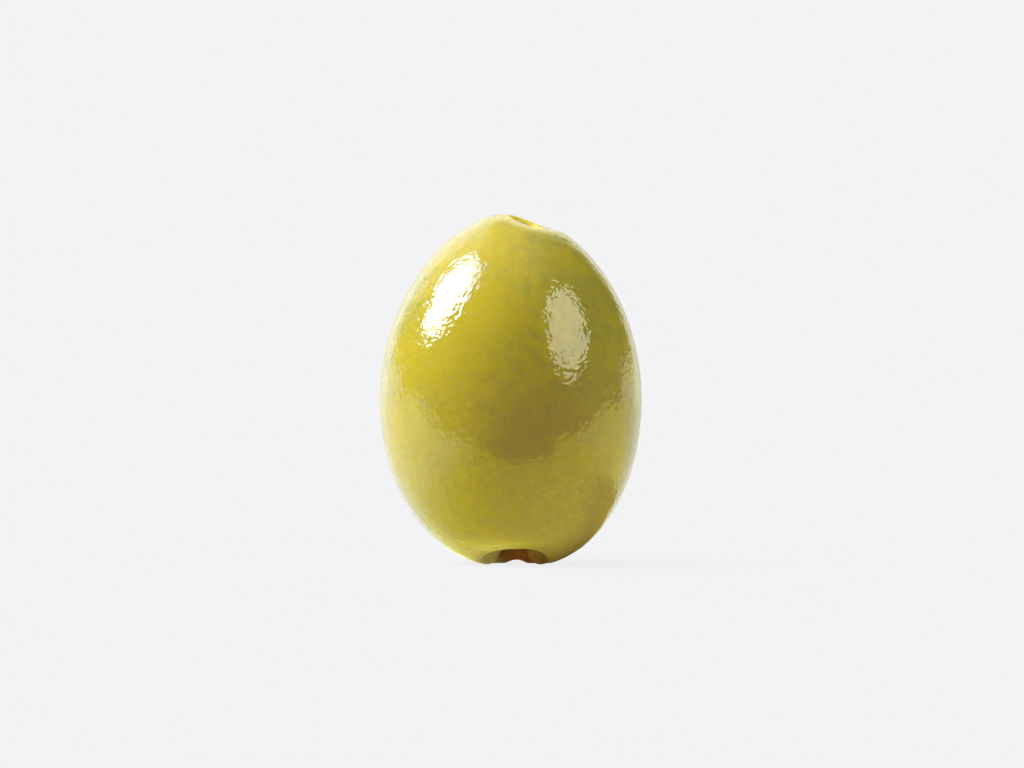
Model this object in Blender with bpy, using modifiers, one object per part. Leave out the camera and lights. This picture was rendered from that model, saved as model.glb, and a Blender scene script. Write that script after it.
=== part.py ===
"""A green table olive standing on its lobed end: one solid fruit with a small hollow at its tip
and a wider, cleft hollow in its base.

Sizes are in metres, with +Z up. The origin is on the resting plane, under the middle of the fruit.
The front is towards -Y: the hollow in the tip leans that way, and the cleft in the base opens there.
"""

import math

import bpy
from mathutils import Vector, noise

MM = 0.001

# Body: an egg whose widest ring lies a little below its middle; an end with a fullness of 2 is half
# an ellipse, a lower one is more pointed and a higher one blunter
WIDTH = 18.0 * MM
DEPTH = 17.5 * MM
WIDEST_HEIGHT = 11.3 * MM
TIP_REACH = 12.75 * MM
TIP_FULLNESS = 1.73
BASE_REACH = 11.55 * MM
BASE_FULLNESS = 2.35

# Hollow in the tip: a lip rolled over into a cup, moved and tilted towards the right and the front.
# Points within the inner lean radius move with the lip, and those beyond the outer one stay
TIP_LIP_RADIUS = 1.15 * MM
TIP_LIP_OUTER_ROUND = 3.2 * MM
TIP_LIP_INNER_ROUND = 0.28 * MM
TIP_CUP_DEPTH = 1.9 * MM
TIP_CUP_FULLNESS = 2.6
TIP_SHIFT_RIGHT = 0.85 * MM
TIP_SHIFT_FRONT = 0.7 * MM
TIP_SINK = 0.2 * MM
TIP_SLOPE_RIGHT = 0.39
TIP_SLOPE_FRONT = 0.19
TIP_LEAN_INNER = 1.3 * MM
TIP_LEAN_OUTER = 4.6 * MM
BODY_LEAN = 0.15 * MM

# Fuller shoulder left of the tip, between its inner and its outer edge
SHOULDER_RISE = 0.2 * MM
SHOULDER_INNER = 1.3 * MM
SHOULDER_INNER_TOP = 2.5 * MM
SHOULDER_OUTER_TOP = 4.5 * MM
SHOULDER_OUTER = 8.0 * MM

# Hollow in the base, between two lobes of flesh, under a lip of skin that arches over it in front.
# A reach is how far the arch, or the gap between the lobes, goes from its highest place. The fold is
# where the skin ends and the lobes' flesh begins, and it lies furthest out in front
BASE_LIP_RADIUS = 1.95 * MM
BASE_LIP_OUTER_ROUND = 0.6 * MM
BASE_LIP_INNER_ROUND = 0.9 * MM
BASE_CUP_DEPTH = 2.2 * MM
BASE_CUP_FULLNESS = 2.2
BASE_SHIFT_RIGHT = 0.2 * MM
ARCH_HEIGHT = 0.66 * MM
ARCH_TURN = math.radians(8.0)
ARCH_LEFT_REACH = math.radians(78.0)
ARCH_RIGHT_REACH = math.radians(56.0)
ARCH_FADE_INNER = 3.2 * MM
ARCH_FADE_OUTER = 6.2 * MM
ARCH_FULLNESS = 1.5
FOLD_RADIUS = 2.35 * MM
FOLD_FRONT_REACH = 0.8 * MM
FOLD_WIDTH = 0.35 * MM
GAP_HEIGHT = 1.3 * MM
GAP_TURN = math.radians(10.0)
GAP_LEFT_REACH = math.radians(84.0)
GAP_RIGHT_REACH = math.radians(62.0)
BACK_GAP_HEIGHT = 0.26 * MM
BACK_GAP_TURN = math.radians(173.0)
BACK_GAP_INNER = math.radians(2.0)
BACK_GAP_OUTER = math.radians(34.0)
RIGHT_LOBE_RISE = 0.06 * MM
RIGHT_LOBE_TURN = math.radians(78.0)
RIGHT_LOBE_INNER = math.radians(35.0)
RIGHT_LOBE_OUTER = math.radians(70.0)
REST_FLAT = 0.05 * MM

# Unevenness of the flesh: slow swellings all over
SWELL_SIZE = 6.5 * MM
SWELL_HEIGHT = 0.05 * MM

# Skin
SKIN_COLOUR = (0.42, 0.36, 0.04, 1.0)
SKIN_ROUGHNESS = 0.15

# Fineness of the faceted surface
SIDES = 60
SKIN_STEPS = 21
SKIN_CROWDING = 1.7
LIP_STEPS = 4
CUP_STEPS = 5
MEETING_ROUNDS = 20
MERGE_DISTANCE = 0.001 * MM


def ease(low, high, value):
    """0 below low and 1 above high, with a smooth rise between them."""
    share = min(1.0, max(0.0, (value - low) / (high - low)))
    return share * share * (3.0 - 2.0 * share)


def skin_facing(reach, fullness, radius):
    """How steeply the skin's outward side faces up, in radians above level, at this radius."""
    turn = math.acos((radius / (WIDTH / 2)) ** (fullness / 2))
    fall = WIDTH / 2 * (2 / fullness) * math.cos(turn) ** (2 / fullness - 1) * math.sin(turn)
    return math.atan2(fall, reach * math.cos(turn))


def skin_radius(reach, fullness, lip_radius, outer_round):
    """The radius where the skin meets the lip's outer arc with one tangent."""
    radius = lip_radius
    for _ in range(MEETING_ROUNDS):
        radius = lip_radius + outer_round * math.cos(skin_facing(reach, fullness, radius))
    return radius


def end_outline(reach, fullness, lip_radius, outer_round, inner_round, cup_depth, cup_fullness):
    """Points (radius, height from the widest ring) of one end, from that ring to the cup's floor."""
    half = WIDTH / 2
    skin_end = skin_radius(reach, fullness, lip_radius, outer_round)
    last = math.acos((skin_end / half) ** (fullness / 2))
    points = []
    for step in range(SKIN_STEPS + 1):
        turn = last * (1.0 - (1.0 - step / SKIN_STEPS) ** SKIN_CROWDING)
        points.append((half * math.cos(turn) ** (2 / fullness), reach * math.sin(turn)))

    # The lip rolls from the skin's slope to level, and then on a tighter arc down to an upright wall
    facing = skin_facing(reach, fullness, skin_end)
    crest_height = points[-1][1] + outer_round * (1.0 - math.sin(facing))
    for step in range(1, LIP_STEPS + 1):
        turn = facing + (math.pi / 2 - facing) * step / LIP_STEPS
        height = crest_height - outer_round * (1.0 - math.sin(turn))
        points.append((lip_radius + outer_round * math.cos(turn), height))
    for step in range(1, LIP_STEPS + 1):
        turn = math.pi / 2 * (1.0 + step / LIP_STEPS)
        height = crest_height - inner_round * (1.0 - math.sin(turn))
        points.append((lip_radius + inner_round * math.cos(turn), height))

    # The cup is part of a superellipse, from the upright wall to a level floor
    wall_radius, wall_height = points[-1]
    for step in range(1, CUP_STEPS):
        turn = math.pi / 2 * step / CUP_STEPS
        radius = wall_radius * math.cos(turn) ** (2 / cup_fullness)
        points.append((radius, wall_height - cup_depth * math.sin(turn) ** (2 / cup_fullness)))
    points.append((0.0, wall_height - cup_depth))
    return points


def outline():
    """Points of the whole turned outline, from the floor of the upper cup to the roof of the lower."""
    tip = end_outline(
        TIP_REACH,
        TIP_FULLNESS,
        TIP_LIP_RADIUS,
        TIP_LIP_OUTER_ROUND,
        TIP_LIP_INNER_ROUND,
        TIP_CUP_DEPTH,
        TIP_CUP_FULLNESS,
    )
    base = end_outline(
        BASE_REACH,
        BASE_FULLNESS,
        BASE_LIP_RADIUS,
        BASE_LIP_OUTER_ROUND,
        BASE_LIP_INNER_ROUND,
        BASE_CUP_DEPTH,
        BASE_CUP_FULLNESS,
    )
    upper = [Vector((radius, 0.0, WIDEST_HEIGHT + height)) for radius, height in reversed(tip)]
    lower = [Vector((radius, 0.0, WIDEST_HEIGHT - height)) for radius, height in base[1:]]
    return upper + lower


def turned_mesh(points):
    """The solid swept by the outline about +Z, as a closed mesh."""
    mesh = bpy.data.meshes.new("olive_outline")
    mesh.from_pydata(points, [(i, i + 1) for i in range(len(points) - 1)], [])
    guide = bpy.data.objects.new("olive_outline", mesh)
    bpy.context.scene.collection.objects.link(guide)
    screw = guide.modifiers.new("Turn", "SCREW")
    screw.steps = SIDES
    screw.render_steps = SIDES
    screw.use_merge_vertices = True
    screw.merge_threshold = MERGE_DISTANCE
    graph = bpy.context.evaluated_depsgraph_get()
    turned = bpy.data.meshes.new_from_object(guide.evaluated_get(graph))
    bpy.data.objects.remove(guide)
    return turned


def lean_tip(point):
    """Moves the tip's cup towards the right and the front and lets its lip slope the same way."""
    radius = math.hypot(point.x, point.y)
    if point.z < WIDEST_HEIGHT:
        return point
    hold = 1.0 - ease(TIP_LEAN_INNER, TIP_LEAN_OUTER, radius)
    lean = BODY_LEAN * (1.0 - (2 * radius / WIDTH) ** 2)
    arm = min(1.0, TIP_LEAN_INNER / max(radius, TIP_LEAN_INNER))
    drop = TIP_SINK + arm * (TIP_SLOPE_RIGHT * point.x - TIP_SLOPE_FRONT * point.y)
    shoulder = SHOULDER_RISE * ease(SHOULDER_INNER, SHOULDER_INNER_TOP, radius)
    shoulder *= 1.0 - ease(SHOULDER_OUTER_TOP, SHOULDER_OUTER, radius)
    shoulder *= ease(0.0, radius, -point.x) if radius > SHOULDER_INNER else 0.0
    rise = shoulder - hold * drop
    return point + Vector((lean + hold * TIP_SHIFT_RIGHT, -hold * TIP_SHIFT_FRONT, rise))


def arch_share(turn, middle, left_reach, right_reach):
    """1 at the middle of an arch, falling smoothly to 0 at its reach to the left and to the right."""
    reach = right_reach if turn > middle else left_reach
    return 1.0 - ease(0.0, 1.0, (abs(turn - middle) / reach) ** ARCH_FULLNESS)


def skin_share(radius, turn):
    """0 on the lobes' flesh and 1 on the skin of the base, on either side of the fold between them."""
    fold = FOLD_RADIUS + FOLD_FRONT_REACH * arch_share(turn, GAP_TURN, GAP_LEFT_REACH, GAP_RIGHT_REACH)
    return ease(fold, fold + FOLD_WIDTH, radius)


def base_lift(radius, turn):
    """How far the base is raised, at this radius and at this turn from the front to the right."""
    arch = ARCH_HEIGHT * arch_share(turn, ARCH_TURN, ARCH_LEFT_REACH, ARCH_RIGHT_REACH)
    arch *= 1.0 - ease(ARCH_FADE_INNER, ARCH_FADE_OUTER, radius)
    gap = GAP_HEIGHT * arch_share(turn, GAP_TURN, GAP_LEFT_REACH, GAP_RIGHT_REACH)
    behind = abs(math.remainder(turn - BACK_GAP_TURN, math.tau))
    back_gap = BACK_GAP_HEIGHT * (1.0 - ease(BACK_GAP_INNER, BACK_GAP_OUTER, behind))
    back_gap *= 1.0 - ease(FOLD_RADIUS, ARCH_FADE_OUTER, radius)
    right_lobe = 1.0 - ease(RIGHT_LOBE_INNER, RIGHT_LOBE_OUTER, abs(turn - RIGHT_LOBE_TURN))
    lobes = max(gap, RIGHT_LOBE_RISE * right_lobe)
    skin = skin_share(radius, turn)
    return skin * arch + (1.0 - skin) * lobes + back_gap


def part_base(point):
    """Raises the base between its two lobes, and moves its hollow to the right."""
    radius = math.hypot(point.x, point.y)
    if point.z > WIDEST_HEIGHT:
        return point
    lift = base_lift(radius, math.atan2(point.x, -point.y))
    lift *= ease(0.0, BASE_LIP_RADIUS - BASE_LIP_INNER_ROUND, radius)
    shift = BASE_SHIFT_RIGHT * (1.0 - (2 * radius / WIDTH) ** 2)
    return point + Vector((shift, 0.0, lift))


def swell(point):
    """Moves a point in or out by the slow unevenness of the flesh."""
    middle = Vector((0.0, 0.0, WIDEST_HEIGHT))
    rise = SWELL_HEIGHT * noise.noise(point / SWELL_SIZE)
    return point + rise * (point - middle).normalized()


def settle(mesh):
    """Centres the fruit over the origin and flattens its lobes a little against the resting plane."""
    xs, ys, zs = zip(*(vertex.co for vertex in mesh.vertices))
    shift = Vector((-(min(xs) + max(xs)) / 2, -(min(ys) + max(ys)) / 2, -min(zs) - REST_FLAT))
    for vertex in mesh.vertices:
        vertex.co += shift
        vertex.co.z = max(0.0, vertex.co.z)


def olive_material():
    """Glossy yellow-green skin."""
    material = bpy.data.materials.new("olive_skin")
    material.use_nodes = True
    shader = material.node_tree.nodes["Principled BSDF"]
    shader.inputs["Base Color"].default_value = SKIN_COLOUR
    shader.inputs["Roughness"].default_value = SKIN_ROUGHNESS
    shader.inputs["Metallic"].default_value = 0.0
    return material


def make_olive(collection):
    """The fruit, as one named object."""
    mesh = turned_mesh(outline())
    mesh.name = "olive"
    for vertex in mesh.vertices:
        point = Vector((vertex.co.x, vertex.co.y * DEPTH / WIDTH, vertex.co.z))
        vertex.co = swell(part_base(lean_tip(point)))
    settle(mesh)
    mesh.shade_smooth()
    mesh.materials.append(olive_material())
    olive = bpy.data.objects.new("olive", mesh)
    collection.objects.link(olive)


def main():
    for old in list(bpy.data.objects):
        bpy.data.objects.remove(old)
    collection = bpy.data.collections.new("green_olive")
    bpy.context.scene.collection.children.link(collection)
    make_olive(collection)


main()
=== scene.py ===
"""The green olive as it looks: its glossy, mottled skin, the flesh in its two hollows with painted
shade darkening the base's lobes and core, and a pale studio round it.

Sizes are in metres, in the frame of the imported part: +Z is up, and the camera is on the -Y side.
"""

import math

import bmesh
import bpy
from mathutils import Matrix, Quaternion, Vector, noise


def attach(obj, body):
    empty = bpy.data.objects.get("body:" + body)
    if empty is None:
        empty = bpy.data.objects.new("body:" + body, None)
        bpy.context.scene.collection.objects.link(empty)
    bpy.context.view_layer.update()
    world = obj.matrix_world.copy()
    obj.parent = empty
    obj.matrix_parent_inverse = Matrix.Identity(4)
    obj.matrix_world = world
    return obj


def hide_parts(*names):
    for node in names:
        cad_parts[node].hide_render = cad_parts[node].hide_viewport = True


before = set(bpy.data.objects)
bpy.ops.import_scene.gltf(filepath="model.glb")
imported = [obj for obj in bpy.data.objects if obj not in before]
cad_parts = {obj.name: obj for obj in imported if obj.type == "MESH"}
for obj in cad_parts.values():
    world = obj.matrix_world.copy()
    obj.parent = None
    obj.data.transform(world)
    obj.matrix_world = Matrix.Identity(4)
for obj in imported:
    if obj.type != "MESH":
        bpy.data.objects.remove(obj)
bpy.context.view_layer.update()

MM = 0.001

# Body: an egg whose widest ring lies a little below its middle
WIDTH = 18.0 * MM
DEPTH = 17.5 * MM
WIDEST_HEIGHT = 11.3 * MM
TIP_REACH = 12.75 * MM
TIP_FULLNESS = 1.73
BASE_REACH = 11.55 * MM
BASE_FULLNESS = 2.35
BODY_LEAN = 0.15 * MM

# Fuller shoulder left of the tip, between its inner and its outer edge
SHOULDER_RISE = 0.2 * MM
SHOULDER_INNER = 1.3 * MM
SHOULDER_INNER_TOP = 2.5 * MM
SHOULDER_OUTER_TOP = 4.5 * MM
SHOULDER_OUTER = 8.0 * MM

# Hollow in the tip
TIP_LIP_RADIUS = 1.15 * MM
TIP_LIP_OUTER_ROUND = 3.2 * MM
TIP_LIP_INNER_ROUND = 0.28 * MM
TIP_CUP_DEPTH = 1.9 * MM
TIP_CUP_FULLNESS = 2.6
TIP_SHIFT_RIGHT = 0.85 * MM
TIP_SHIFT_FRONT = 0.7 * MM
TIP_SINK = 0.2 * MM
TIP_SLOPE_RIGHT = 0.39
TIP_SLOPE_FRONT = 0.19
TIP_LEAN_INNER = 1.3 * MM
TIP_LEAN_OUTER = 4.6 * MM

# Hollow in the base, between two lobes of flesh, under a lip of skin that arches over it in front.
# A reach is how far the arch, or the gap between the lobes, goes from its highest place
BASE_LIP_RADIUS = 1.95 * MM
BASE_LIP_OUTER_ROUND = 0.6 * MM
BASE_LIP_INNER_ROUND = 0.9 * MM
BASE_CUP_DEPTH = 2.2 * MM
BASE_CUP_FULLNESS = 2.2
BASE_SHIFT_RIGHT = 0.2 * MM
ARCH_HEIGHT = 0.66 * MM
ARCH_TURN = math.radians(8.0)
ARCH_LEFT_REACH = math.radians(78.0)
ARCH_RIGHT_REACH = math.radians(56.0)
ARCH_FADE_INNER = 3.2 * MM
ARCH_FADE_OUTER = 6.2 * MM
ARCH_FULLNESS = 1.5
FOLD_RADIUS = 2.35 * MM
FOLD_FRONT_REACH = 0.8 * MM
FOLD_WIDTH = 0.35 * MM
GAP_HEIGHT = 1.3 * MM
GAP_TURN = math.radians(10.0)
GAP_LEFT_REACH = math.radians(84.0)
GAP_RIGHT_REACH = math.radians(62.0)
BACK_GAP_HEIGHT = 0.26 * MM
BACK_GAP_TURN = math.radians(173.0)
BACK_GAP_INNER = math.radians(2.0)
BACK_GAP_OUTER = math.radians(34.0)
RIGHT_LOBE_RISE = 0.06 * MM
RIGHT_LOBE_TURN = math.radians(78.0)
RIGHT_LOBE_INNER = math.radians(35.0)
RIGHT_LOBE_OUTER = math.radians(70.0)
REST_FLAT = 0.05 * MM

# Unevenness of the surface: the size and the height of each kind of swelling, slowest first
SWELLINGS = (
    (6.5 * MM, 0.05 * MM),
    (2.6 * MM, 0.02 * MM),
    (1.1 * MM, 0.015 * MM),
)

# Fineness of the surface
SIDES = 320
SKIN_STEPS = 92
SKIN_CROWDING = 1.7
LIP_STEPS = 14
CUP_STEPS = 16
MEETING_ROUNDS = 20
MERGE_DISTANCE = 0.001 * MM

# Where the flesh's colour shows. The tip's fades out between two distances from the fruit's axis,
# and the core's painted red-brown shade between two from a place right of it and behind it. The
# lobes', darkened as painted shade, ends at the fold in front, and fades into the skin at the sides
TIP_FLESH_INNER = 0.95 * MM
TIP_FLESH_OUTER = 1.35 * MM
CORE_SHADE_INNER = 0.9 * MM
CORE_SHADE_OUTER = 2.4 * MM
CORE_SHADE_RIGHT = 1.0 * MM
CORE_SHADE_BACK = 0.5 * MM
LOBE_BLEND = 1.2 * MM
LOBE_BLEND_INNER = math.radians(18.0)
LOBE_BLEND_OUTER = math.radians(60.0)

# Colours, as linear red, green and blue
SKIN_YELLOW = (0.64, 0.515, 0.038, 1.0)
SKIN_GREEN = (0.43, 0.405, 0.075, 1.0)
SKIN_BROWN = (0.49, 0.345, 0.085, 1.0)
FLECK_PALE = (0.62, 0.52, 0.10, 1.0)
TIP_FLESH = (0.80, 0.69, 0.03, 1.0)
# The lobes' flesh, darkened as painted shade under the skin's arch
LOBE_FLESH_AND_SHADE = (0.31, 0.225, 0.045, 1.0)
# Flesh at the core of the base's hollow, painted dark red-brown as the shade inside the hollow
CORE_BROWN_AND_SHADE = (0.54, 0.22, 0.045, 1.0)

# Pattern of the skin. A span is where a change begins and where it ends
PATCH_SIZE = 4.5 * MM
MOTTLE_SIZE = 0.9 * MM
FIBRE_SIZE = 0.3 * MM
GREEN_ACROSS_SPAN = (-4.0 * MM, 7.0 * MM)
GREEN_LEAST_AND_MOST = (0.1, 0.7)
GREEN_MOTTLE = 1.5
UPPER_LEFT_ACROSS_SPAN = (-2.0 * MM, -6.0 * MM)
UPPER_LEFT_HEIGHT_SPAN = (12.0 * MM, 17.0 * MM)
UPPER_LEFT_GREEN = 0.2
BROWN_HEIGHT_SPAN = (17.0 * MM, 9.0 * MM)
BROWN_ACROSS_SPAN = (-6.0 * MM, 1.0 * MM)
BROWN_MOTTLE = 1.2
BROWN_SPAN = (0.1, 1.1)
BROWN_MOST = 0.7
FLECK_SPAN = (0.5, 0.75)
FLECK_MOST = 0.7

# Wet surface, and the light that spreads in the flesh
RIPPLE_SIZE = 0.5 * MM
RIPPLE_HEIGHT = 0.052 * MM
RIPPLE_ACROSS_SPAN = (-3.0 * MM, 3.0 * MM)
RIPPLE_LEFT_AND_RIGHT = (1.0, 0.8)
GLOSS_SPAN = (0.3, 0.7)
GLOSS_ROUGHNESS = (0.03, 0.06)
LOBE_ROUGHNESS = 0.4
TIP_ROUGHNESS = 0.5
WET_IOR = 1.45
FLESH_SPREAD = 0.6
FLESH_REACH_OF_EACH_COLOUR = (1.0, 0.8, 0.25)
FLESH_REACH = 1.2 * MM

# Floor, and the black card that lies on it before the fruit: painted shade, seen only by its gloss and
# flesh
PALE_GROUND = (0.896, 0.896, 0.913, 1.0)
FLOOR_PAPER = (0.8, 0.8, 0.8, 1.0)
FLOOR_RADIUS = 3.0
ROUND_SIDES = 64
SHADOW_INNER = 2.0 * MM
SHADOW_OUTER = 22.0 * MM
SHADOW_SHARE = 0.09
CARD_SIZE = 0.5
CARD_DISTANCE = 28.0 * MM
CARD_HEIGHT = 0.3 * MM
CARD_DISC_RADIUS = 30.0 * MM
CARD_DISC_CENTRE = (2.0 * MM, -50.0 * MM, CARD_HEIGHT)
BLACK_CARD = (0.02, 0.02, 0.02, 1.0)

# What the flesh is lit with by the floor, and what the fruit's gloss reflects of it. Round each
# centre the floor changes between an inner and an outer distance, and the other spans are of a
# floor point's direction from the middle: across to the right, or towards the back
FLOOR_LIGHT = (0.6, 0.6, 0.6, 1.0)
CONTACT_CENTRE = (5.0 * MM, 4.0 * MM, 0.0)
CONTACT_INNER = 5.0 * MM
CONTACT_OUTER = 10.5 * MM
CONTACT_SHADE = (0.2, 0.14, 0.04, 1.0)
SHADE_CENTRE = (12.5 * MM, 3.0 * MM, 0.0)
SHADE_INNER = 5.0 * MM
SHADE_OUTER = 11.5 * MM
SHADE_REFLECTION = (0.55, 0.45, 0.05, 1.0)
UNDER_CENTRE = (3.0 * MM, 2.0 * MM, 0.0)
UNDER_INNER = 2.5 * MM
UNDER_OUTER = 7.0 * MM
WARM_CENTRE = (5.5 * MM, -19.5 * MM, 0.0)
WARM_INNER = 14.0 * MM
WARM_OUTER = 30.0 * MM
WARM_REFLECTION = (2.0, 1.85, 0.0, 1.0)
LEFT_REFLECTION = (1.65, 2.05, 1.7, 1.0)
RIGHT_REFLECTION = (2.1, 2.2, 0.5, 1.0)
BACK_LEFT_REFLECTION = (1.25, 1.42, 1.65, 1.0)
BACK_RIGHT_REFLECTION = (1.3, 1.42, 1.15, 1.0)
FLOOR_ACROSS_SPAN = (-0.3, 0.3)
FLOOR_BACK_SPAN = (0.2, 0.75)
HORIZON_BACK_SPAN = (0.86, 0.97)

# Room, as what the fruit sees in each direction: across to the right, towards the back and up
DARK_ROOM = (0.01, 0.01, 0.01, 1.0)
PALE_CEILING = (0.5, 0.5, 0.5, 1.0)
BRIGHT_WALL = (1.7, 1.75, 1.3, 1.0)
COOL_WALL = (1.05, 1.5, 2.25, 1.0)
FRONT_LIGHT = (0.48, 0.48, 0.48, 1.0)
BACK_LIGHT = (0.05, 0.05, 0.05, 1.0)
TOP_LIGHT = (1.5, 1.42, 0.5, 1.0)
LOW_WALL_BACK_SPAN = (0.28, 0.5)
LOW_WALL_UP_SPAN = (0.2, 0.05)
HIGH_WALL_BACK_SPAN = (0.35, 0.65)
HIGH_WALL_UP_SPAN = (0.3, 0.5)
HIGH_WALL_ACROSS_SPAN = (0.5, 0.3)
LEFT_WALL_BACK_SPAN = (0.6, 0.8)
LEFT_WALL_ACROSS_SPAN = (0.0, -0.2)
FAR_WALL_BACK_SPAN = (0.74, 0.89)
COOL_TO_BRIGHT_SPAN = (-0.15, 0.1)
CEILING_UP_SPAN = (0.84, 0.97)
FRONT_LIGHT_BACK_SPAN = (0.3, -0.3)
FRONT_LIGHT_UP_SPAN = (0.75, 0.55)
TOP_LIGHT_BACK_SPAN = (0.05, 0.35)
TOP_LIGHT_UP_SPAN = (0.6, 0.8)
TOP_LIGHT_ACROSS_SPAN = (-0.1, 0.3)

# Lights: where each stands from the fruit, its width and height, its turn, its colour and how
# bright its face is. A highlight shows in the gloss alone, and a body light reaches the flesh alone
LIGHT_DISTANCE = 450.0 * MM
WHITE_LIGHT = (1.0, 1.0, 1.0)
KEY_DIRECTION = (-0.762, -0.058, 0.665)
KEY_SIZE = (0.222, 0.31)
KEY_TURN = math.radians(-25.0)
KEY_HIGHLIGHT = 18.0
KEY_RIM_DIRECTION = (-0.68, -0.054, 0.75)
KEY_RIM_SIZE = (0.25, 0.345)
KEY_RIM_COLOUR = (0.36, 0.62, 1.0)
KEY_RIM_HIGHLIGHT = 11.5
KEY_BODY_DIRECTION = (-0.73, 0.0, 0.68)
KEY_BODY_SIZE = (0.35, 0.39)
KEY_BODY = 9.2
HALO_DIRECTION = (-0.51, 0.32, 0.87)
HALO_SIZE = (0.26, 0.26)
HALO_COLOUR = (0.5, 0.9, 1.0)
HALO_HIGHLIGHT = 1.3
WINDOW_DIRECTION = (0.722, -0.445, 0.515)
WINDOW_SIZE = (0.28, 0.376)
WINDOW_TURN = math.radians(-45.0)
WINDOW_COLOUR = (1.0, 0.94, 0.72)
WINDOW_HIGHLIGHT = 7.0
WINDOW_BODY = 2.6
UNTURNED = 0.0

# Camera
LOOK_RIGHT = 0.07 * MM
LOOK_HEIGHT = 12.36 * MM
LOOK_DISTANCE = 300.0 * MM
LENS = 153.5
SENSOR_WIDTH = 36.0
NEAREST_SEEN = 0.01
FARTHEST_SEEN = 10.0


def ease(low, high, value):
    """0 below low and 1 above high, with a smooth rise between them."""
    share = min(1.0, max(0.0, (value - low) / (high - low)))
    return share * share * (3.0 - 2.0 * share)


def skin_facing(reach, fullness, radius):
    """How steeply the skin's outward side faces up, in radians above level, at this radius."""
    turn = math.acos((radius / (WIDTH / 2)) ** (fullness / 2))
    fall = WIDTH / 2 * (2 / fullness) * math.cos(turn) ** (2 / fullness - 1) * math.sin(turn)
    return math.atan2(fall, reach * math.cos(turn))


def skin_radius(reach, fullness, lip_radius, outer_round):
    """The radius where the skin meets the lip's outer arc with one tangent."""
    radius = lip_radius
    for _ in range(MEETING_ROUNDS):
        radius = lip_radius + outer_round * math.cos(skin_facing(reach, fullness, radius))
    return radius


def end_outline(reach, fullness, lip_radius, outer_round, inner_round, cup_depth, cup_fullness):
    """Points (radius, height from the widest ring) of one end, from that ring to the cup's floor."""
    half = WIDTH / 2
    skin_end = skin_radius(reach, fullness, lip_radius, outer_round)
    last = math.acos((skin_end / half) ** (fullness / 2))
    points = []
    for step in range(SKIN_STEPS + 1):
        turn = last * (1.0 - (1.0 - step / SKIN_STEPS) ** SKIN_CROWDING)
        points.append((half * math.cos(turn) ** (2 / fullness), reach * math.sin(turn)))

    # The lip rolls from the skin's slope to level, and then on a tighter arc down to an upright wall
    facing = skin_facing(reach, fullness, skin_end)
    crest_height = points[-1][1] + outer_round * (1.0 - math.sin(facing))
    for step in range(1, LIP_STEPS + 1):
        turn = facing + (math.pi / 2 - facing) * step / LIP_STEPS
        height = crest_height - outer_round * (1.0 - math.sin(turn))
        points.append((lip_radius + outer_round * math.cos(turn), height))
    for step in range(1, LIP_STEPS + 1):
        turn = math.pi / 2 * (1.0 + step / LIP_STEPS)
        height = crest_height - inner_round * (1.0 - math.sin(turn))
        points.append((lip_radius + inner_round * math.cos(turn), height))

    # The cup is part of a superellipse, from the upright wall to a level floor
    wall_radius, wall_height = points[-1]
    for step in range(1, CUP_STEPS):
        turn = math.pi / 2 * step / CUP_STEPS
        radius = wall_radius * math.cos(turn) ** (2 / cup_fullness)
        points.append((radius, wall_height - cup_depth * math.sin(turn) ** (2 / cup_fullness)))
    points.append((0.0, wall_height - cup_depth))
    return points


def outline():
    """Points of the whole turned outline, from the floor of the upper cup to the roof of the lower."""
    tip = end_outline(
        TIP_REACH,
        TIP_FULLNESS,
        TIP_LIP_RADIUS,
        TIP_LIP_OUTER_ROUND,
        TIP_LIP_INNER_ROUND,
        TIP_CUP_DEPTH,
        TIP_CUP_FULLNESS,
    )
    base = end_outline(
        BASE_REACH,
        BASE_FULLNESS,
        BASE_LIP_RADIUS,
        BASE_LIP_OUTER_ROUND,
        BASE_LIP_INNER_ROUND,
        BASE_CUP_DEPTH,
        BASE_CUP_FULLNESS,
    )
    upper = [Vector((radius, 0.0, WIDEST_HEIGHT + height)) for radius, height in reversed(tip)]
    lower = [Vector((radius, 0.0, WIDEST_HEIGHT - height)) for radius, height in base[1:]]
    return upper + lower


def turned_form(points):
    """A closed form swept by the outline about +Z."""
    form = bmesh.new()
    line = [form.verts.new(point) for point in points]
    edges = [form.edges.new(pair) for pair in zip(line, line[1:])]
    bmesh.ops.spin(
        form,
        geom=line + edges,
        cent=(0.0, 0.0, 0.0),
        axis=(0.0, 0.0, 1.0),
        dvec=(0.0, 0.0, 0.0),
        angle=math.tau,
        steps=SIDES,
        use_merge=True,
        use_duplicate=False,
    )
    bmesh.ops.remove_doubles(form, verts=form.verts, dist=MERGE_DISTANCE)
    bmesh.ops.recalc_face_normals(form, faces=form.faces)
    return form


def lean_tip(point):
    """Moves the tip's cup towards the right and the front and lets its lip slope the same way."""
    radius = math.hypot(point.x, point.y)
    if point.z < WIDEST_HEIGHT:
        return point
    hold = 1.0 - ease(TIP_LEAN_INNER, TIP_LEAN_OUTER, radius)
    lean = BODY_LEAN * (1.0 - (2 * radius / WIDTH) ** 2)
    arm = min(1.0, TIP_LEAN_INNER / max(radius, TIP_LEAN_INNER))
    drop = TIP_SINK + arm * (TIP_SLOPE_RIGHT * point.x - TIP_SLOPE_FRONT * point.y)
    shoulder = SHOULDER_RISE * ease(SHOULDER_INNER, SHOULDER_INNER_TOP, radius)
    shoulder *= 1.0 - ease(SHOULDER_OUTER_TOP, SHOULDER_OUTER, radius)
    shoulder *= ease(0.0, radius, -point.x) if radius > SHOULDER_INNER else 0.0
    rise = shoulder - hold * drop
    return point + Vector((lean + hold * TIP_SHIFT_RIGHT, -hold * TIP_SHIFT_FRONT, rise))


def arch_share(turn, middle, left_reach, right_reach):
    """1 at the middle of an arch, falling smoothly to 0 at its reach to the left and to the right."""
    reach = right_reach if turn > middle else left_reach
    return 1.0 - ease(0.0, 1.0, (abs(turn - middle) / reach) ** ARCH_FULLNESS)


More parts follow.
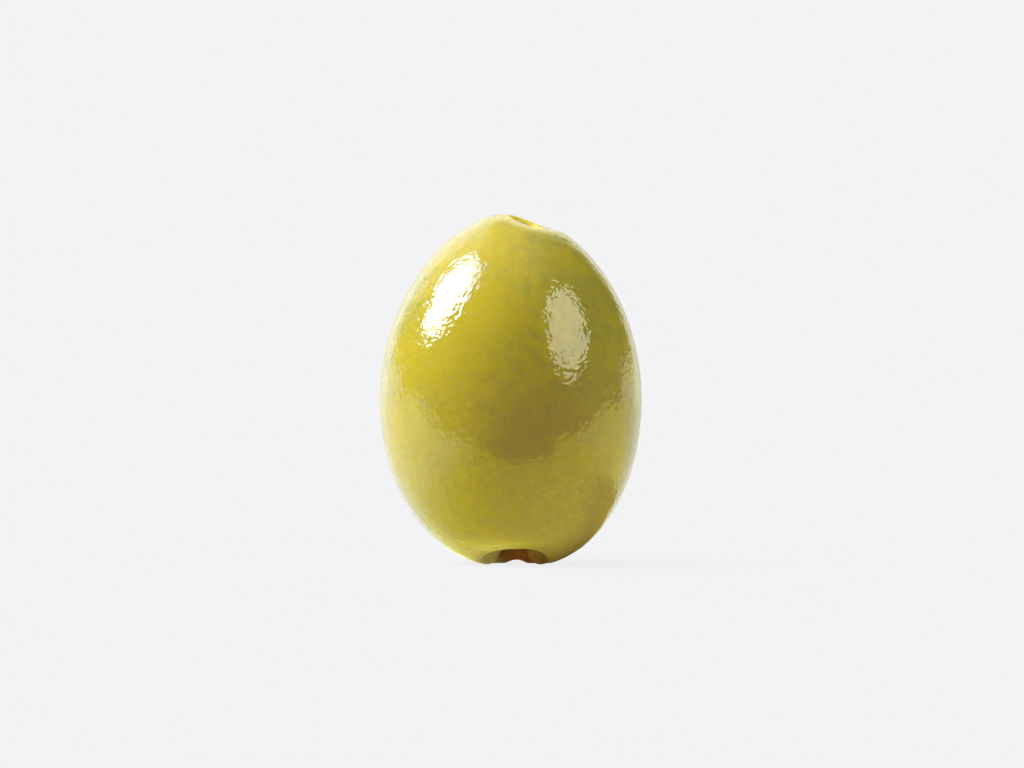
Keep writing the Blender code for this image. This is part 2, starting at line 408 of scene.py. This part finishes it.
def skin_share(radius, turn, width=FOLD_WIDTH):
    """0 on the lobes' flesh, and 1 on the skin of the base across a fold of this width."""
    fold = FOLD_RADIUS + FOLD_FRONT_REACH * arch_share(turn, GAP_TURN, GAP_LEFT_REACH, GAP_RIGHT_REACH)
    return ease(fold, fold + width, radius)


def base_lift(radius, turn):
    """How far the base is raised, at this radius and at this turn from the front to the right."""
    arch = ARCH_HEIGHT * arch_share(turn, ARCH_TURN, ARCH_LEFT_REACH, ARCH_RIGHT_REACH)
    arch *= 1.0 - ease(ARCH_FADE_INNER, ARCH_FADE_OUTER, radius)
    gap = GAP_HEIGHT * arch_share(turn, GAP_TURN, GAP_LEFT_REACH, GAP_RIGHT_REACH)
    behind = abs(math.remainder(turn - BACK_GAP_TURN, math.tau))
    back_gap = BACK_GAP_HEIGHT * (1.0 - ease(BACK_GAP_INNER, BACK_GAP_OUTER, behind))
    back_gap *= 1.0 - ease(FOLD_RADIUS, ARCH_FADE_OUTER, radius)
    right_lobe = 1.0 - ease(RIGHT_LOBE_INNER, RIGHT_LOBE_OUTER, abs(turn - RIGHT_LOBE_TURN))
    lobes = max(gap, RIGHT_LOBE_RISE * right_lobe)
    skin = skin_share(radius, turn)
    return skin * arch + (1.0 - skin) * lobes + back_gap


def part_base(point):
    """Raises the base between its two lobes, and moves its hollow to the right."""
    radius = math.hypot(point.x, point.y)
    if point.z > WIDEST_HEIGHT:
        return point
    lift = base_lift(radius, math.atan2(point.x, -point.y))
    lift *= ease(0.0, BASE_LIP_RADIUS - BASE_LIP_INNER_ROUND, radius)
    shift = BASE_SHIFT_RIGHT * (1.0 - (2 * radius / WIDTH) ** 2)
    return point + Vector((shift, 0.0, lift))


def swell(point):
    """Moves a point in or out by the unevenness of the surface."""
    outward = (point - Vector((0.0, 0.0, WIDEST_HEIGHT))).normalized()
    rise = sum(height * noise.noise(point / size) for size, height in SWELLINGS)
    return point + rise * outward


def settle(form):
    """Centres the fruit over the origin and flattens its lobes a little against the floor."""
    xs, ys, zs = zip(*(vertex.co for vertex in form.verts))
    shift = Vector((-(min(xs) + max(xs)) / 2, -(min(ys) + max(ys)) / 2, -min(zs) - REST_FLAT))
    for vertex in form.verts:
        vertex.co += shift
        vertex.co.z = max(0.0, vertex.co.z)


def mark_flesh_and_shade(form):
    """Keeps on each point how much of the tip's flesh, the lobes' flesh with its painted shade, and
    the core's painted red-brown shade shows there.
    """
    tip_flesh = form.verts.layers.float.new("tip_flesh")
    lobe_flesh_and_shade = form.verts.layers.float.new("lobe_flesh_and_shade")
    core_flesh_and_shade = form.verts.layers.float.new("core_flesh_and_shade")
    for vertex in form.verts:
        radius = math.hypot(vertex.co.x, vertex.co.y)
        if vertex.co.z > WIDEST_HEIGHT:
            vertex[tip_flesh] = 1.0 - ease(TIP_FLESH_INNER, TIP_FLESH_OUTER, radius)
        else:
            core_radius = math.hypot(vertex.co.x - CORE_SHADE_RIGHT, vertex.co.y - CORE_SHADE_BACK)
            turn = math.atan2(vertex.co.x, -vertex.co.y)
            blend = LOBE_BLEND * ease(LOBE_BLEND_INNER, LOBE_BLEND_OUTER, abs(turn - GAP_TURN))
            vertex[lobe_flesh_and_shade] = 1.0 - skin_share(radius, turn, FOLD_WIDTH + blend)
            vertex[core_flesh_and_shade] = 1.0 - ease(CORE_SHADE_INNER, CORE_SHADE_OUTER, core_radius)


def make_olive():
    """The fruit's finely shaped surface, in the place of the plain solid."""
    form = turned_form(outline())
    mark_flesh_and_shade(form)
    for vertex in form.verts:
        point = Vector((vertex.co.x, vertex.co.y * DEPTH / WIDTH, vertex.co.z))
        vertex.co = swell(part_base(lean_tip(point)))
    settle(form)
    mesh = bpy.data.meshes.new("olive_flesh_and_skin")
    form.to_mesh(mesh)
    form.free()
    mesh.shade_smooth()
    mesh.materials.append(olive_material())
    olive = bpy.data.objects.new("olive_flesh_and_skin", mesh)
    bpy.context.scene.collection.objects.link(olive)
    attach(olive, "root")
    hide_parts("olive")


class Socket:
    """A number that a shader's nodes work out; arithmetic on it adds Math nodes."""

    def __init__(self, graph, output):
        self.graph = graph
        self.output = output

    def __add__(self, other):
        return self.graph.maths("ADD", self, other)

    def __radd__(self, other):
        return self.graph.maths("ADD", other, self)

    def __sub__(self, other):
        return self.graph.maths("SUBTRACT", self, other)

    def __rsub__(self, other):
        return self.graph.maths("SUBTRACT", other, self)

    def __mul__(self, other):
        return self.graph.maths("MULTIPLY", self, other)

    def __rmul__(self, other):
        return self.graph.maths("MULTIPLY", other, self)


class Graph:
    """The nodes of one material or of the world."""

    def __init__(self, owner):
        owner.use_nodes = True
        self.tree = owner.node_tree
        self.tree.nodes.clear()

    def node(self, kind, settings=None, inputs=None, output=0):
        """A new node, as the socket of its chosen output."""
        made = self.tree.nodes.new(kind)
        for name, value in (settings or {}).items():
            setattr(made, name, value)
        for name, value in (inputs or {}).items():
            if isinstance(value, Socket):
                self.tree.links.new(value.output, made.inputs[name])
            else:
                made.inputs[name].default_value = value
        if made.outputs:
            return Socket(self, made.outputs[output])
        return None

    def maths(self, operation, first, second):
        return self.node("ShaderNodeMath", {"operation": operation}, {0: first, 1: second})

    def ramp(self, value, low, high, start=0.0, end=1.0):
        """A smooth change from start, where the value is low, to end, where it is high."""
        return self.node(
            "ShaderNodeMapRange",
            {"interpolation_type": "SMOOTHSTEP"},
            {"Value": value, "From Min": low, "From Max": high, "To Min": start, "To Max": end},
        )

    def mix(self, share, first, second):
        """One colour turning into another as the share goes from 0 to 1."""
        return self.node("ShaderNodeMix", {"data_type": "RGBA"}, {0: share, 6: first, 7: second}, 2)

    def part(self, vector, axis):
        """The X, Y or Z of a place or a direction."""
        return self.node("ShaderNodeSeparateXYZ", {}, {0: vector}, axis)

    def away_from(self, place, centre, inner, outer):
        """0 within the inner distance of a centre, and 1 beyond the outer one."""
        inputs = {0: place, 1: centre}
        distance = self.node("ShaderNodeVectorMath", {"operation": "DISTANCE"}, inputs, "Value")
        return self.ramp(distance, inner, outer)

    def attribute(self, name):
        """A number that the mesh keeps on each of its points."""
        return self.node("ShaderNodeAttribute", {"attribute_name": name}, output="Fac")

    def ray_is(self, kind):
        """1 where the surface is seen by this kind of ray, and 0 otherwise."""
        return self.node("ShaderNodeLightPath", output=f"Is {kind} Ray")

    def grain(self, place, size, detail=2.0, roughness=0.5):
        """Soft noise from about 0 to 1 whose lumps have this size."""
        inputs = {"Vector": place, "Scale": 1.0 / size, "Detail": detail, "Roughness": roughness}
        return self.node("ShaderNodeTexNoise", {}, inputs)


def olive_material():
    """Wet, glossy skin with a mottled green, the yellow flesh in the tip's hollow, and in the base's
    hollow flesh darkened and turned red-brown as painted shade.
    """
    material = bpy.data.materials.new("olive_skin")
    graph = Graph(material)
    place = graph.node("ShaderNodeTexCoord", output="Object")
    across = graph.part(place, "X")
    height = graph.part(place, "Z")
    tip_flesh = graph.attribute("tip_flesh")
    lobe_flesh_and_shade = graph.attribute("lobe_flesh_and_shade")
    core_flesh_and_shade = graph.attribute("core_flesh_and_shade")

    # Skin: soft yellow and green patches, greener to the right and at the upper left, and browner
    # in the lower middle, with fine pale flecks
    patches = graph.grain(place, PATCH_SIZE, 2.0)
    mottle = graph.grain(place, MOTTLE_SIZE, 4.0, 0.65)
    fibre = graph.grain(place, FIBRE_SIZE, 3.0, 0.7)
    upper_left = graph.ramp(across, *UPPER_LEFT_ACROSS_SPAN)
    upper_left = upper_left * graph.ramp(height, *UPPER_LEFT_HEIGHT_SPAN)
    greenness = graph.ramp(across, *GREEN_ACROSS_SPAN, *GREEN_LEAST_AND_MOST)
    greenness = greenness + UPPER_LEFT_GREEN * upper_left
    greenness = greenness + (patches - 0.5) + GREEN_MOTTLE * (mottle - 0.5)
    colour = graph.mix(graph.ramp(greenness, 0.0, 1.0), SKIN_YELLOW, SKIN_GREEN)
    brownness = graph.ramp(height, *BROWN_HEIGHT_SPAN) * graph.ramp(across, *BROWN_ACROSS_SPAN)
    brownness = brownness + BROWN_MOTTLE * (mottle - 0.5)
    colour = graph.mix(BROWN_MOST * graph.ramp(brownness, *BROWN_SPAN), colour, SKIN_BROWN)
    colour = graph.mix(FLECK_MOST * graph.ramp(fibre, *FLECK_SPAN), colour, FLECK_PALE)

    # Flesh in the hollows; the base's lobes and core carry painted shade
    colour = graph.mix(tip_flesh, colour, TIP_FLESH)
    colour = graph.mix(lobe_flesh_and_shade, colour, LOBE_FLESH_AND_SHADE)
    colour = graph.mix(core_flesh_and_shade, colour, CORE_BROWN_AND_SHADE)

    # Fine ripples in the wet surface, flatter on the right
    flatness = graph.ramp(across, *RIPPLE_ACROSS_SPAN, *RIPPLE_LEFT_AND_RIGHT)
    ripples = graph.grain(place, RIPPLE_SIZE, 1.5, 0.7) * flatness
    bump = {"Strength": 1.0, "Distance": RIPPLE_HEIGHT, "Height": ripples}
    roughness = graph.ramp(mottle, *GLOSS_SPAN, *GLOSS_ROUGHNESS)
    roughness = roughness + LOBE_ROUGHNESS * lobe_flesh_and_shade + TIP_ROUGHNESS * tip_flesh
    shader = graph.node(
        "ShaderNodeBsdfPrincipled",
        {"subsurface_method": "RANDOM_WALK"},
        {
            "Base Color": colour,
            "Roughness": roughness,
            "Normal": graph.node("ShaderNodeBump", {}, bump),
            "IOR": WET_IOR,
            "Subsurface Weight": FLESH_SPREAD,
            "Subsurface Radius": FLESH_REACH_OF_EACH_COLOUR,
            "Subsurface Scale": FLESH_REACH,
        },
    )
    graph.node("ShaderNodeOutputMaterial", {}, {"Surface": shader})
    return material


def stage_piece(form, name, material):
    """A floor or card that isn't part of the object."""
    mesh = bpy.data.meshes.new(name)
    form.to_mesh(mesh)
    form.free()
    mesh.materials.append(material)
    piece = bpy.data.objects.new(name, mesh)
    bpy.context.scene.collection.objects.link(piece)
    return piece


def floor_material():
    """Pale and even for the camera, with a faint shadow; coloured in the fruit's reflections."""
    material = bpy.data.materials.new("pale_floor")
    material.cycles.emission_sampling = "NONE"
    graph = Graph(material)
    place = graph.node("ShaderNodeTexCoord", output="Object")
    heading = graph.node("ShaderNodeVectorMath", {"operation": "NORMALIZE"}, {0: place}, "Vector")
    back = graph.part(heading, "Y")
    across = graph.part(heading, "X")

    # Reflections: another colour to each side and at the back, warm before the fruit, and dark
    # where the fruit shades the floor
    rightness = graph.ramp(across, *FLOOR_ACROSS_SPAN)
    reflected = graph.mix(rightness, LEFT_REFLECTION, RIGHT_REFLECTION)
    far_back = graph.mix(rightness, BACK_LEFT_REFLECTION, BACK_RIGHT_REFLECTION)
    reflected = graph.mix(graph.ramp(back, *FLOOR_BACK_SPAN), reflected, far_back)
    off_warm = graph.away_from(place, WARM_CENTRE, WARM_INNER, WARM_OUTER)
    reflected = graph.mix(off_warm, WARM_REFLECTION, reflected)
    reflected = graph.mix(graph.ramp(back, *HORIZON_BACK_SPAN), reflected, PALE_GROUND)
    off_shade = graph.away_from(place, SHADE_CENTRE, SHADE_INNER, SHADE_OUTER)
    reflected = graph.mix(off_shade, SHADE_REFLECTION, reflected)
    off_under = graph.away_from(place, UNDER_CENTRE, UNDER_INNER, UNDER_OUTER)
    reflected = graph.mix(off_under, CONTACT_SHADE, reflected)

    # The light that the floor gives the flesh, and the even ground that the camera sees
    off_contact = graph.away_from(place, CONTACT_CENTRE, CONTACT_INNER, CONTACT_OUTER)
    lighting = graph.mix(off_contact, CONTACT_SHADE, FLOOR_LIGHT)
    lighting = graph.mix(graph.ray_is("Glossy"), lighting, reflected)
    colour = graph.mix(graph.ray_is("Camera"), lighting, PALE_GROUND)
    glow = graph.node("ShaderNodeEmission", {}, {"Color": colour, "Strength": 1.0})

    # A little plain paper shows through near the fruit and takes its shadow
    paper = graph.node("ShaderNodeBsdfDiffuse", {}, {"Color": FLOOR_PAPER})
    away = graph.node("ShaderNodeVectorMath", {"operation": "LENGTH"}, {0: place}, "Value")
    share = graph.ramp(away, SHADOW_INNER, SHADOW_OUTER, SHADOW_SHARE, 0.0)
    surface = graph.node("ShaderNodeMixShader", {}, {0: share, 1: glow, 2: paper})
    graph.node("ShaderNodeOutputMaterial", {}, {"Surface": surface})
    return material


def black_material():
    material = bpy.data.materials.new("black_shade_card")
    material.cycles.emission_sampling = "NONE"
    graph = Graph(material)
    surface = graph.node("ShaderNodeEmission", {}, {"Color": BLACK_CARD, "Strength": 1.0})
    graph.node("ShaderNodeOutputMaterial", {}, {"Surface": surface})
    return material


def make_floor():
    """A pale floor, and a black card on it before the fruit, which the camera doesn't see: painted
    shade that darkens the fruit's reflection and its front.
    """
    form = bmesh.new()
    bmesh.ops.create_circle(form, cap_ends=True, radius=FLOOR_RADIUS, segments=ROUND_SIDES)
    stage_piece(form, "floor", floor_material())
    form = bmesh.new()
    bmesh.ops.create_grid(form, x_segments=1, y_segments=1, size=CARD_SIZE)
    bmesh.ops.translate(form, verts=form.verts, vec=(0.0, -CARD_SIZE - CARD_DISTANCE, CARD_HEIGHT))
    disc = bmesh.ops.create_circle(form, cap_ends=True, radius=CARD_DISC_RADIUS, segments=ROUND_SIDES)
    bmesh.ops.translate(form, verts=disc["verts"], vec=CARD_DISC_CENTRE)
    # The card is painted shade: a black sheet that only the fruit's gloss and flesh see, never the
    # camera
    card = stage_piece(form, "front_shade_card", black_material())
    card.visible_camera = False
    card.visible_shadow = False
    card.visible_transmission = False


def make_world():
    """A pale backdrop for the camera. The fruit sees a dark room with a bright wall behind it."""
    world = bpy.data.worlds.new("studio")
    bpy.context.scene.world = world
    world.cycles.sampling_method = "NONE"
    graph = Graph(world)
    direction = graph.node("ShaderNodeTexCoord", output="Generated")
    back = graph.part(direction, "Y")
    up = graph.part(direction, "Z")
    across = graph.part(direction, "X")

    # Reflections: a dark room with a pale ceiling and, behind, walls that meet in one bright shape
    low_wall = graph.ramp(back, *LOW_WALL_BACK_SPAN) * graph.ramp(up, *LOW_WALL_UP_SPAN)
    high_wall = graph.ramp(back, *HIGH_WALL_BACK_SPAN) * graph.ramp(up, *HIGH_WALL_UP_SPAN)
    high_wall = high_wall * graph.ramp(across, *HIGH_WALL_ACROSS_SPAN)
    left_wall = graph.ramp(back, *LEFT_WALL_BACK_SPAN) * graph.ramp(across, *LEFT_WALL_ACROSS_SPAN)
    far_wall = graph.maths("MAXIMUM", left_wall, graph.ramp(back, *FAR_WALL_BACK_SPAN))
    wall = graph.maths("MAXIMUM", low_wall, graph.maths("MAXIMUM", high_wall, far_wall))
    wall_colour = graph.mix(graph.ramp(across, *COOL_TO_BRIGHT_SPAN), COOL_WALL, BRIGHT_WALL)
    wall_colour = graph.mix(graph.ramp(back, *HORIZON_BACK_SPAN), wall_colour, PALE_GROUND)
    room = graph.mix(graph.ramp(up, *CEILING_UP_SPAN), DARK_ROOM, PALE_CEILING)
    reflected = graph.mix(wall, room, wall_colour)

    # The light that the room gives the flesh: weak from the front, and warm from high at the back
    front = graph.ramp(back, *FRONT_LIGHT_BACK_SPAN) * graph.ramp(up, *FRONT_LIGHT_UP_SPAN)
    lighting = graph.mix(front, BACK_LIGHT, FRONT_LIGHT)
    top = graph.ramp(back, *TOP_LIGHT_BACK_SPAN) * graph.ramp(up, *TOP_LIGHT_UP_SPAN)
    top = top * graph.ramp(across, *TOP_LIGHT_ACROSS_SPAN)
    lighting = graph.mix(top, lighting, TOP_LIGHT)

    colour = graph.mix(graph.ray_is("Glossy"), lighting, reflected)
    colour = graph.mix(graph.ray_is("Camera"), colour, PALE_GROUND)
    surface = graph.node("ShaderNodeBackground", {}, {"Color": colour, "Strength": 1.0})
    graph.node("ShaderNodeOutputWorld", {}, {"Surface": surface})


def soft_light(name, direction, size, turn, colour, radiance):
    """An oval light that faces the fruit from this direction, turned about that line."""
    width, height = size
    light = bpy.data.lights.new(name, "AREA")
    light.shape = "ELLIPSE"
    light.size = width
    light.size_y = height
    light.color = colour
    area = math.pi / 4 * width * height
    light.energy = radiance * math.pi * area
    lamp = bpy.data.objects.new(name, light)
    bpy.context.scene.collection.objects.link(lamp)
    towards = Vector(direction).normalized()
    lamp.location = Vector((0.0, 0.0, WIDEST_HEIGHT)) + LIGHT_DISTANCE * towards
    lamp.rotation_mode = "QUATERNION"
    lamp.rotation_quaternion = towards.to_track_quat("Z", "Y") @ Quaternion((0.0, 0.0, 1.0), turn)
    lamp.visible_camera = False
    return lamp


def make_lights():
    """A key light and a window at the sides, each as its shine and as its light on the flesh."""
    highlights = (
        soft_light("key_highlight", KEY_DIRECTION, KEY_SIZE, KEY_TURN, WHITE_LIGHT, KEY_HIGHLIGHT),
        soft_light(
            "key_rim_highlight",
            KEY_RIM_DIRECTION,
            KEY_RIM_SIZE,
            KEY_TURN,
            KEY_RIM_COLOUR,
            KEY_RIM_HIGHLIGHT,
        ),
        soft_light("halo_highlight", HALO_DIRECTION, HALO_SIZE, UNTURNED, HALO_COLOUR, HALO_HIGHLIGHT),
        soft_light(
            "window_highlight",
            WINDOW_DIRECTION,
            WINDOW_SIZE,
            WINDOW_TURN,
            WINDOW_COLOUR,
            WINDOW_HIGHLIGHT,
        ),
    )
    for lamp in highlights:
        lamp.visible_diffuse = False
    body_lights = (
        soft_light("key_body", KEY_BODY_DIRECTION, KEY_BODY_SIZE, UNTURNED, WHITE_LIGHT, KEY_BODY),
        soft_light(
            "window_body",
            WINDOW_DIRECTION,
            WINDOW_SIZE,
            WINDOW_TURN,
            WINDOW_COLOUR,
            WINDOW_BODY,
        ),
    )
    for lamp in body_lights:
        lamp.visible_glossy = False


def make_camera():
    camera = bpy.data.cameras.new("camera")
    camera.lens = LENS
    camera.sensor_width = SENSOR_WIDTH
    camera.clip_start = NEAREST_SEEN
    camera.clip_end = FARTHEST_SEEN
    eye = bpy.data.objects.new("camera", camera)
    bpy.context.scene.collection.objects.link(eye)
    eye.location = (LOOK_RIGHT, -LOOK_DISTANCE, LOOK_HEIGHT)
    eye.rotation_euler = (math.pi / 2, 0.0, 0.0)
    bpy.context.scene.camera = eye


make_olive()
make_floor()
make_world()
make_lights()
make_camera()
bpy.context.scene.view_settings.view_transform = "Standard"
